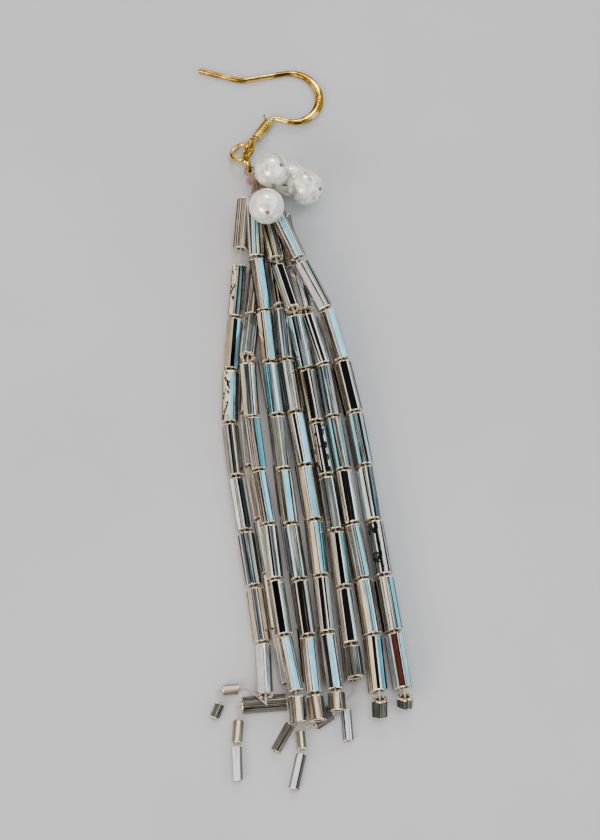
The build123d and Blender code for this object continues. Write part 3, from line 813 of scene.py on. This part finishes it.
@dataclass
class BugleStrand:
    """A strand of six-sided bugle beads.

    The frame's solids give each bead's place. The beads get eased edges, chipped rims that are not quite square,
    and an open bore.
    """

    node: str
    seed: int
    # Back strands take the less mirrored glass, so they show brighter in the shade between the front strands
    behind: bool = False
    sides: int = 6
    columns: int = 8
    crowding: tuple[float, float] = (0.72, 1.4)
    edge_width: float = 0.085 * MM
    # Painted highlight and dark lines on the eased edges between facets, duller ones for the dull looks
    edge_tones: tuple[Tone, ...] = (Tone.WHITE, Tone.WHITE, Tone.CREAM, Tone.BLACK)
    dull_edge_tones: tuple[Tone, ...] = (Tone.SMOKE, Tone.OLIVE, Tone.BROWN)
    dull_looks: tuple[Look, ...] = (Look.SMOKY, Look.GREY_END, Look.BEIGE)
    # Share of facets that start with a dark painted line
    outlined: float = 0.6
    # Painted brightness of each facet, at random
    facet_light: tuple[float, float] = (0.84, 1.10)
    # Strips lower than this share of the radius take the painted shade of Look.UNDER
    under_height: float = -0.1
    blotched_tones: tuple[Tone, ...] = (Tone.CREAM, Tone.WHITE, Tone.OLIVE, Tone.SILVER, Tone.TAN, Tone.SMOKE)
    rim_width: float = 0.115 * MM
    rim_drop: float = 0.06 * MM
    drawn_share: float = 0.7
    eased_share: float = 0.25
    eased_drop: float = 0.6
    slant: float = 0.06 * MM
    slant_shares: tuple[float, float, float] = (0.5, 0.35, 0.15)
    chips: float = 0.07 * MM
    chip_shares: tuple[float, float, float] = (0.3, 0.5, 1.0)
    bore_depth: float = 0.3
    row_layers: tuple[Layer, ...] = (Layer.RIM,) * 3 + (Layer.GLASS,) + (Layer.RIM,) * 3 + (Layer.BORE,) * 3
    pattern_steps: tuple[float, float, float] = (0.13, 3.1, 0.37)

    def outline(self, bead: BeadForm, inset: float, bends: list[float]) -> np.ndarray:
        """Points round a bead's outside: a row of strips on each side, and a narrow one on each eased edge.

        Args:
            bead: the bead.
            inset: how far the outline is drawn in.
            bends: for each side, how its strips crowd: to its start above 1, to its end below.

        Returns:
            The points, as places across the bead's axis.
        """
        other = np.cross(bead.axis, bead.corner)
        corners = [
            turned(bead.corner, other, math.tau * side / self.sides) * (bead.radius - inset)
            for side in range(self.sides)
        ]
        ring = []
        for side, here in enumerate(corners):
            there = corners[(side + 1) % self.sides]
            edge = self.edge_width / np.linalg.norm(there - here)
            for step in range(self.columns + 1):
                ring.append(here + (there - here) * (edge + (1 - 2 * edge) * (step / self.columns) ** bends[side]))
        return np.array(ring)

    def strips(self, bead: BeadForm, look: Look, dice: random.Random) -> list[tuple[Tone, float]]:
        """The painted tone and painted brightness of each strip round a bead.

        Args:
            bead: the bead.
            look: what the bead shows from above.
            dice: the strand's own dice.

        Returns:
            A tone and a factor for each strip, in the outline's order.
        """
        # The bead's right side, seen from above
        right = np.cross(bead.axis, (0, 0, 1))
        right = unit(right) * math.copysign(1.0, right[0])
        ring = self.outline(bead, 0.0, [1.0] * self.sides)
        facets = [dice.uniform(*self.facet_light) for _ in range(self.sides)]
        edges = self.dull_edge_tones if look in self.dull_looks else self.edge_tones
        above, below = look.runs(), Look.UNDER.runs()
        found = []
        for step, middle in enumerate((ring + np.roll(ring, -1, axis=0)) / 2):
            side, part = divmod(step, self.columns + 1)
            # Eased edges take a painted highlight or dark line
            if part == self.columns:
                found.append((dice.choice(edges), 1.0))
                continue
            # A dark painted line along the facet's start
            if part == 0 and dice.random() < self.outlined:
                found.append((Tone.BROWN, 1.0))
                continue
            # Strips that face down take painted shade
            runs = above if middle[2] > self.under_height * bead.radius else below
            left = (1 + float(middle @ right) / bead.radius) / 2
            for tone, width in runs:
                left -= width
                if left <= 0:
                    break
            found.append((tone, facets[side]))
        return found

    def cut_end(self, bead: BeadForm, base: np.ndarray, way: np.ndarray, dice: random.Random) -> CutEnd:
        """Cuts one end of a bead, a little slanted and chipped.

        Args:
            bead: the bead.
            base: the end's middle.
            way: the way into the bead.
            dice: the strand's own dice.

        Returns:
            The cut end.
        """
        bends = [dice.uniform(*self.crowding) for _ in range(self.sides)]
        shares = (0.0, self.eased_share, self.drawn_share)
        full, eased, drawn = (self.outline(bead, self.rim_width * share, bends) for share in shares)
        bore = full / np.linalg.norm(full, axis=1)[:, None] * bead.bore
        other = np.cross(bead.axis, bead.corner)
        turns = np.array([math.atan2(point @ other, point @ bead.corner) for point in full])
        lean, wave = dice.uniform(0, math.tau), dice.uniform(0, math.tau)
        even, leaning, waved = self.slant_shares
        cut = (even + leaning * np.cos(turns - lean) + waved * np.cos(3 * turns - wave)) * self.slant
        chips = np.array([dice.uniform(0.0, 1.0) ** 2 * self.chips for _ in turns])
        return CutEnd(base, way, full, eased, drawn, bore, cut, chips)

    def rings(self, bead: BeadForm, dice: random.Random) -> list[np.ndarray]:
        """Rings of points that make one bead, from the bore's mouth out, along the facets and back through the bore.

        Args:
            bead: the bead.
            dice: the strand's own dice.

        Returns:
            Rings with the same number of points, which close on themselves.
        """
        head = self.cut_end(bead, bead.foot, bead.axis, dice)
        tail = self.cut_end(bead, bead.foot + bead.axis * bead.length, -bead.axis, dice)
        inner, middle, outer = self.chip_shares
        rims = [
            [
                end.ring(end.bore, self.rim_drop),
                end.ring(end.drawn, 0.0, inner),
                end.ring(end.eased, self.rim_drop * self.eased_drop, middle),
                end.ring(end.full, self.rim_width, outer),
            ]
            for end in (head, tail)
        ]
        lining = [end.ring(end.bore, bead.length * self.bore_depth) for end in (tail, head)]
        return rims[0] + rims[1][::-1] + lining

    def beads(self) -> list[BeadForm]:
        """Measures the strand's beads in the frame.

        Returns:
            The beads, from the top down.
        """
        points = node_points(self.node)
        faces = np.array([tuple(face.vertices)[:3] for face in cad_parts[self.node].data.polygons])
        sides = np.cross(points[faces[:, 1]] - points[faces[:, 0]], points[faces[:, 2]] - points[faces[:, 0]])
        found = [
            BeadForm.measured(points[np.unique(faces[part])], sides[part]) for part in loose_parts(points, faces)
        ]
        return sorted(found, key=lambda bead: -(bead.foot + bead.axis * bead.length / 2)[1])

    def build(self, paints: Paints) -> None:
        """Makes the strand as one piece that stands for its node.

        Args:
            paints: the materials.
        """
        dice = random.Random(self.seed)
        strip_step, bead_step, strand_step = self.pattern_steps
        points, faces, layers, tones, streaks, spots, places = [], [], [], [], [], [], []
        looks = [Look[name] for name in LOOKS[self.node].split(", ")]
        for number, (bead, look) in enumerate(zip(self.beads(), looks)):
            blotched = (self.node, number) in BLOTCHED
            rings = self.rings(bead, dice)
            strips = self.strips(bead, look, dice)
            first = len(points)
            points += [point for ring in rings for point in ring]
            shift = number * bead_step + self.seed * strand_step
            for index, face in enumerate(hoops(len(rings), len(strips), first, closed=True)):
                row, step = divmod(index, len(strips))
                tone, light = strips[step]
                faces.append(face)
                layers.append(self.row_layers[row])
                tones += [(*(min(1.0, part * light) for part in tone.value[:3]), 1.0)] * 4
                streaks += [tone.value[3]] * 4
                spots += [float(blotched and tone in self.blotched_tones)] * 4
                for corner, across in zip(face, (step, step + 1, step + 1, step)):
                    along = float((points[corner] - bead.foot) @ bead.axis) / MM
                    places.append((along, across * strip_step, shift))
        # The less mirrored glass lightens the back strands in the shade
        glass = paints.back_strand_glass if self.behind else paints.glass
        piece = new_piece(
            f"{self.node}_beads", self.node, "mirror_glass", points, faces, glass, paints.rim, paints.bore
        )
        mesh = piece.data
        mesh.polygons.foreach_set("material_index", layers)
        mesh.polygons.foreach_set("use_smooth", [layer == Layer.BORE for layer in layers])
        mesh.color_attributes.new("tone", "FLOAT_COLOR", "CORNER").data.foreach_set("color", np.ravel(tones))
        mesh.attributes.new("streak", "FLOAT", "CORNER").data.foreach_set("value", streaks)
        mesh.attributes.new("tarnish", "FLOAT", "CORNER").data.foreach_set("value", spots)
        mesh.attributes.new("bead_place", "FLOAT_VECTOR", "CORNER").data.foreach_set("vector", np.ravel(places))
        mesh.update()


@dataclass
class Fringe:
    """The strands of beads and the threads through them."""

    front: int = 7
    back: int = 6
    first_seed: int = 11
    seed_step: int = 3

    def build(self, paints: Paints) -> None:
        """Makes every strand and dresses its thread.

        Args:
            paints: the materials.
        """
        rows = [("front", number + 1) for number in range(self.front)]
        rows += [("back", number + 1) for number in range(self.back)]
        for place, (side, number) in enumerate(rows):
            seed = self.first_seed + place * self.seed_step
            BugleStrand(f"{side}_strand_{number}", seed, behind=side == "back").build(paints)
            dress(f"{side}_thread_{number}", paints.line)


@dataclass
class Pearls:
    """The drilled pearls under the hook."""

    count: int = 4
    rows: int = 48
    columns: int = 72
    unround: float = 0.03 * MM
    ripple: float = 0.6
    ripple_shift: float = 1.7
    lip: float = 0.06 * MM
    lip_rows: float = 1.2
    bore: float = 0.38 * MM
    bore_depth: float = 0.6
    bore_taper: float = 0.96
    inside: float = 0.98
    end_share: float = 20
    askew: tuple[float, float, float] = (0.2, 0.9, 0.3)

    def build(self, paints: Paints) -> None:
        """Makes the pearls and dresses their threads.

        Args:
            paints: the materials.
        """
        for number in range(1, self.count + 1):
            self.pearl(number, paints)
            dress(f"pearl_thread_{number}", paints.thread)

    def drill_line(self, number: int, middle: np.ndarray, radius: float) -> np.ndarray:
        """The way that a pearl is drilled, which its thread shows.

        Args:
            number: the pearl's number.
            middle: the pearl's middle.
            radius: the pearl's radius.

        Returns:
            The way along the bore.
        """
        off = node_points(f"pearl_thread_{number}") - middle
        off = off[np.linalg.norm(off, axis=1) < radius * self.inside]
        line = unit(off[np.argmax(off @ off[0])] - off[np.argmin(off @ off[0])])
        along = off @ line
        upper = along > np.percentile(along, 100 - self.end_share)
        lower = along < np.percentile(along, self.end_share)
        return unit(off[upper].mean(axis=0) - off[lower].mean(axis=0))

    def pearl(self, number: int, paints: Paints) -> None:
        """Makes one pearl, not quite round, with a softened mouth at each end of its bore.

        Args:
            number: the pearl's number.
            paints: the materials.
        """
        node = f"pearl_{number}"
        low, high = node_box(node)
        middle = (low + high) / 2
        radius = float((high - low).max() / 2)
        axis = self.drill_line(number, middle, radius)
        side = unit(np.cross(axis, self.askew))
        other = np.cross(axis, side)
        start = math.asin(self.bore / radius)
        turns = [math.tau * column / self.columns for column in range(self.columns)]
        spokes = [turned(side, other, turn) for turn in turns]
        points = []
        for row in range(self.rows + 1):
            polar = start + (math.pi - 2 * start) * row / self.rows
            edge = min(row, self.rows - row)
            mouth = self.lip * math.exp(-edge * edge / self.lip_rows)
            ripple = self.ripple * math.cos(3 * polar + number * self.ripple_shift)
            for turn, spoke in zip(turns, spokes):
                wobble = math.sin(2 * turn + number) * math.sin(polar) + ripple
                size = radius - self.unround * (1 + self.ripple - wobble) - mouth
                points.append(middle + axis * size * math.cos(polar) + spoke * size * math.sin(polar))
        for sign in (-1, 1):
            inner = middle + axis * radius * self.bore_depth * sign
            points += [inner + spoke * self.bore * self.bore_taper for spoke in spokes]
        faces = [(a, d, c, b) for a, b, c, d in hoops(self.rows + 3, self.columns, closed=True)]
        new_piece(f"{node}_ball", node, "pearl", points, faces, paints.pearl)


@dataclass
class HookWork:
    """The gold ear hook, the fine wire wound round its shank, and the rings below it."""

    turns: int = 9
    wire: float = 0.185 * MM
    steps: int = 22
    wire_sides: int = 10
    searches: int = 6
    stray: float = 1.35
    tip_shares: tuple[float, float] = (0.4, 0.5)

    def build(self, paints: Paints) -> None:
        """Dresses the hook and rings and winds the wire.

        Args:
            paints: the materials.
        """
        for node in ("ear_hook", "jump_ring", "link_ring"):
            dress(node, paints.gold)
        self.coil(paints)

    def coil(self, paints: Paints) -> None:
        """Winds the wire as a close helix, its end standing out where the frame's does.

        Args:
            paints: the materials.
        """
        points = node_points("hook_coil")
        middle = (points.min(axis=0) + points.max(axis=0)) / 2
        # The wire's loose end stands off the round of the coil and is left out, step by step
        keep = np.ones(len(points), bool)
        for search in range(self.searches):
            if search:
                middle = points[keep].mean(axis=0)
            spread = points[keep] - middle
            axis = np.linalg.eigh(spread.T @ spread)[1][:, 2]
            far = np.linalg.norm(np.cross(points - middle, axis), axis=1)
            keep = far < np.median(far[keep]) * self.stray
        if axis[1] < 0:
            axis = -axis
        along = (points[keep] - middle) @ axis
        low, high = along.min() + self.wire, along.max() - self.wire
        reach = far[keep].max() - self.wire
        loose = points[~keep]
        tip = loose[far[~keep].argmax()]
        side = unit((tip - middle) - axis * ((tip - middle) @ axis))
        other = np.cross(axis, side)
        total = self.turns * self.steps
        path = []
        for step in range(total + 1):
            turn = math.tau * (step - total) / self.steps
            height = low + (high - low) * step / total
            path.append(middle + axis * height + turned(side, other, turn) * reach)
        for share in self.tip_shares:
            path.append(path[-1] * (1 - share) + tip * share)
        coil = Tubing()
        coil.add(path, self.wire, self.wire_sides)
        new_piece("hook_coil_wire", "hook_coil", "gold", coil.points, coil.faces, paints.coil_gold)


@dataclass
class Knotting:
    """The knot below the rings and the threads gathered from it."""

    wraps: int = 6
    cord: float = 0.16 * MM
    lean: tuple[float, float, float] = (0.92, 0.25, 2.3)
    lumps: tuple[float, float] = (0.93, 0.06)
    loops: int = 2
    loop_cord: float = 0.10 * MM
    loop_inset: float = 0.14 * MM
    loop_start: float = 1.02
    crown: float = 0.02 * MM
    bundle: int = 15
    head_depth: float = 0.55 * MM
    foot_depth: float = 0.45 * MM
    strand: float = 0.13 * MM
    insets: tuple[float, float, float] = (1.3, 1.2, 1.0)
    sway: float = 0.01 * MM
    seed: int = 5
    steps: int = 26

    def build(self, paints: Paints) -> None:
        """Makes the knot and the gathered threads."""
        self.knot(paints)
        self.gather(paints)

    def knot(self, paints: Paints) -> None:
        """Wraps cord round and round into a lumpy knot, with the loop that holds it to the link ring.

        Args:
            paints: the materials.
        """
        points = node_points("thread_knot")
        low, high = node_box("thread_knot")
        radius = (high[2] - low[2]) / 2
        middle = points[points[:, 2] > high[2] - self.crown].mean(axis=0)
        middle[2] = (low[2] + high[2]) / 2
        loop = points[np.linalg.norm(points - middle, axis=1) > radius * self.loop_start]
        loop_middle = (loop.min(axis=0) + loop.max(axis=0)) / 2
        loop_radius = (loop[:, 0].max() - loop[:, 0].min()) / 2 - self.loop_inset
        toward = unit(loop_middle - middle)
        side = np.cross(toward, (0, 0, 1))
        up = np.cross(side, toward)
        turns = [math.tau * step / self.steps for step in range(self.steps + 1)]
        forward, aside, shift = self.lean
        even, lump = self.lumps
        tubing = Tubing()
        for wrap in range(self.wraps):
            across = turned(side, up, math.pi * wrap / self.wraps)
            lean = unit(toward * forward + across * aside * math.sin(wrap * shift))
            path = []
            for turn in turns:
                size = (radius - self.cord) * (even + lump * math.sin(3 * turn + wrap))
                path.append(middle + turned(lean, across, turn) * size)
            tubing.add(path, self.cord)
        for number in range(self.loops):
            centre = loop_middle + np.array((0, 0, self.loop_cord * (number * 2 - 1)))
            tubing.add(
                [centre + np.array((math.cos(turn), math.sin(turn), 0.0)) * loop_radius for turn in turns],
                self.loop_cord,
            )
        new_piece("thread_knot_wraps", "thread_knot", "thread", tubing.points, tubing.faces, paints.knot)

    def gather(self, paints: Paints) -> None:
        """Runs a bundle of threads from the knot to where the strands part.

        Args:
            paints: the materials.
        """
        points = node_points("thread_gather")
        low, high = node_box("thread_gather")
        start = points[points[:, 1] > high[1] - self.head_depth]
        end = points[points[:, 1] < low[1] + self.foot_depth]
        head, foot = start.mean(axis=0), end.mean(axis=0)
        line = unit(foot - head)
        side = unit(np.cross(line, (0, 0, 1)))
        up = np.cross(side, line)
        spreads = ((start - head) @ side, (end - foot) @ side, (end - foot) @ up)
        tight, wide, thick = (np.abs(spread).max() - self.strand * inset for spread, inset in zip(spreads, self.insets))
        dice = random.Random(self.seed)
        tubing = Tubing()
        for number in range(self.bundle):
            turn = number * GOLDEN_TURN
            share = math.sqrt((number + 0.5) / self.bundle)
            first = head + turned(side, up, turn) * tight * share
            last = foot + side * wide * math.cos(turn) * share + up * thick * math.sin(turn) * share
            path = []
            for step in range(self.steps + 1):
                along = step / self.steps
                ease = along * along * (3 - 2 * along)
                sway = side * math.sin(along * math.pi) * dice.uniform(-self.sway, self.sway)
                path.append(first * (1 - ease) + last * ease + sway)
            tubing.add(path, self.strand)
        new_piece("thread_gather_bundle", "thread_gather", "thread", tubing.points, tubing.faces, paints.thread)


@dataclass(frozen=True)
class Patch:
    """A part of the room by direction: on each axis, the soft edges where it starts and ends, and how dark it is."""

    right: tuple[Edge, Edge] = (None, None)
    up: tuple[Edge, Edge] = (None, None)
    ahead: tuple[Edge, Edge] = (None, None)
    dark: float = 0.0

    def mask(self, axes: list[Shade]) -> Shade:
        """Where the patch shows.

        Args:
            axes: the direction's share to the right, up and ahead.

        Returns:
            1 inside the patch and 0 outside.
        """
        edges = []
        for axis, (start, end) in zip(axes, (self.right, self.up, self.ahead)):
            if start:
                edges.append(axis.band(*start))
            if end:
                edges.append(axis.band(*end, 1.0, 0.0))
        return math.prod(edges[1:], start=edges[0])


@dataclass(frozen=True)
class Softbox:
    """A soft lamp that faces the earring."""

    name: str
    place: tuple[float, float, float]
    size: tuple[float, float]
    power: float
    colour: Colour
    mirrored: bool = True

    def hang(self) -> None:
        """Makes the lamp."""
        light = bpy.data.lights.new(self.name, "AREA")
        light.shape = "RECTANGLE"
        light.size, light.size_y = self.size
        light.energy = self.power
        light.color = self.colour
        lamp = bpy.data.objects.new(self.name, light)
        lamp.location = self.place
        lamp.rotation_euler = (-Vector(self.place)).to_track_quat("-Z", "Y").to_euler()
        lamp.visible_glossy = self.mirrored
        bpy.context.scene.collection.objects.link(lamp)


@dataclass
class Studio:
    """Pale floor, soft light and the camera."""

    target: tuple[float, float, float] = (0.0, -1.9 * MM, 1.5 * MM)
    elevation: float = 72.0
    distance: float = 260.0 * MM
    lens: float = 57.05
    sensor: float = 24.0
    near: float = 0.01
    floor_size: float = 6.0
    warm_side: Colour = (1.0, 0.88, 0.74)
    cool_side: Colour = (0.88, 0.96, 1.0)
    window_light: Colour = (1.15, 1.45, 1.60)
    room_light: float = 1.18
    side_edge: tuple[float, float] = (-0.6, 0.5)
    horizon_edge: tuple[float, float] = (0.10, 0.50)
    horizon_light: float = 0.05
    window: Patch = Patch(right=((0.36, 0.44), (0.88, 0.94)), up=((0.20, 0.28), None))
    furniture: tuple[Patch, ...] = (
        Patch(right=((-0.02, 0.02), (0.34, 0.38)), ahead=(None, (-0.36, -0.32)), dark=0.9),
        Patch(right=((-0.27, -0.23), (0.42, 0.46)), ahead=((-0.40, -0.36), (-0.02, 0.02)), dark=0.9),
        Patch(right=((-0.50, -0.46), (-0.34, -0.30)), up=((0.3, 0.4), None), ahead=((0.1, 0.2), None), dark=0.8),
    )
    softboxes: tuple[Softbox, ...] = (
        Softbox("softbox_back", (0.02, 0.33, 0.33), (0.16, 0.07), 0.55, (1.0, 0.98, 0.95)),
        Softbox("softbox_front", (-0.26, -0.30, 0.30), (0.24, 0.20), 1.5, (1.0, 0.96, 0.92)),
        Softbox("softbox_top", (0.03, -0.05, 0.50), (0.30, 0.24), 2.1, (1.0, 0.98, 0.97), mirrored=False),
    )

    def build(self) -> None:
        """Makes the floor, the light and the camera."""
        self.floor()
        self.world()
        for softbox in self.softboxes:
            softbox.hang()
        self.camera()

    def floor(self) -> None:
        """Lays the floor under the earring."""
        half = self.floor_size / 2
        mesh = bpy.data.meshes.new("floor")
        mesh.from_pydata([(-half, -half, 0), (half, -half, 0), (half, half, 0), (-half, half, 0)], [], [(0, 1, 2, 3)])
        mesh.materials.append(PaleFloor().make())
        floor = bpy.data.objects.new("floor", mesh)
        bpy.context.scene.collection.objects.link(floor)

    def world(self) -> None:
        """Lights the room softly: warm on the left, cool on the right, dim near the horizon and at dark furniture."""
        world = bpy.data.worlds.new("studio")
        bpy.context.scene.world = world
        world.use_nodes = True
        wiring = Wiring(world.node_tree)
        way = wiring.node("ShaderNodeTexCoord", out="Generated")
        right, ahead, up = (wiring.node("ShaderNodeSeparateXYZ", None, {0: way}, out=axis) for axis in range(3))
        axes = [right, up, ahead]
        light = up.band(*self.horizon_edge, self.horizon_light, 1.0)
        for patch in self.furniture:
            light = light * (1.0 - patch.mask(axes) * patch.dark)
        sides = wiring.mix(right.band(*self.side_edge), self.warm_side, self.cool_side)
        room = wiring.mix(1.0, sides, wiring.grey(light), "MULTIPLY")
        colour = wiring.mix(self.window.mask(axes), room, self.window_light)
        shader = wiring.node("ShaderNodeBackground", None, {"Color": colour, "Strength": self.room_light})
        wiring.finish("ShaderNodeOutputWorld", shader)

    def camera(self) -> None:
        """Stands the camera at the photograph's angle."""
        data = bpy.data.cameras.new("camera")
        data.sensor_fit = "VERTICAL"
        data.sensor_height = self.sensor
        data.lens = self.lens
        data.clip_start = self.near
        camera = bpy.data.objects.new("camera", data)
        rise = math.radians(self.elevation)
        away = Vector((0, -math.cos(rise), math.sin(rise))) * self.distance
        camera.location = Vector(self.target) + away
        camera.rotation_euler = (-away).to_track_quat("-Z", "Y").to_euler()
        bpy.context.scene.collection.objects.link(camera)
        bpy.context.scene.camera = camera


def main() -> None:
    """Builds the earring and its studio."""
    logging.basicConfig(level=logging.INFO, format="%(message)s")
    paints = Paints()
    HookWork().build(paints)
    Knotting().build(paints)
    Pearls().build(paints)
    Fringe().build(paints)
    Studio().build()
    bpy.context.view_layer.update()


if __name__ == "__main__":
    main()
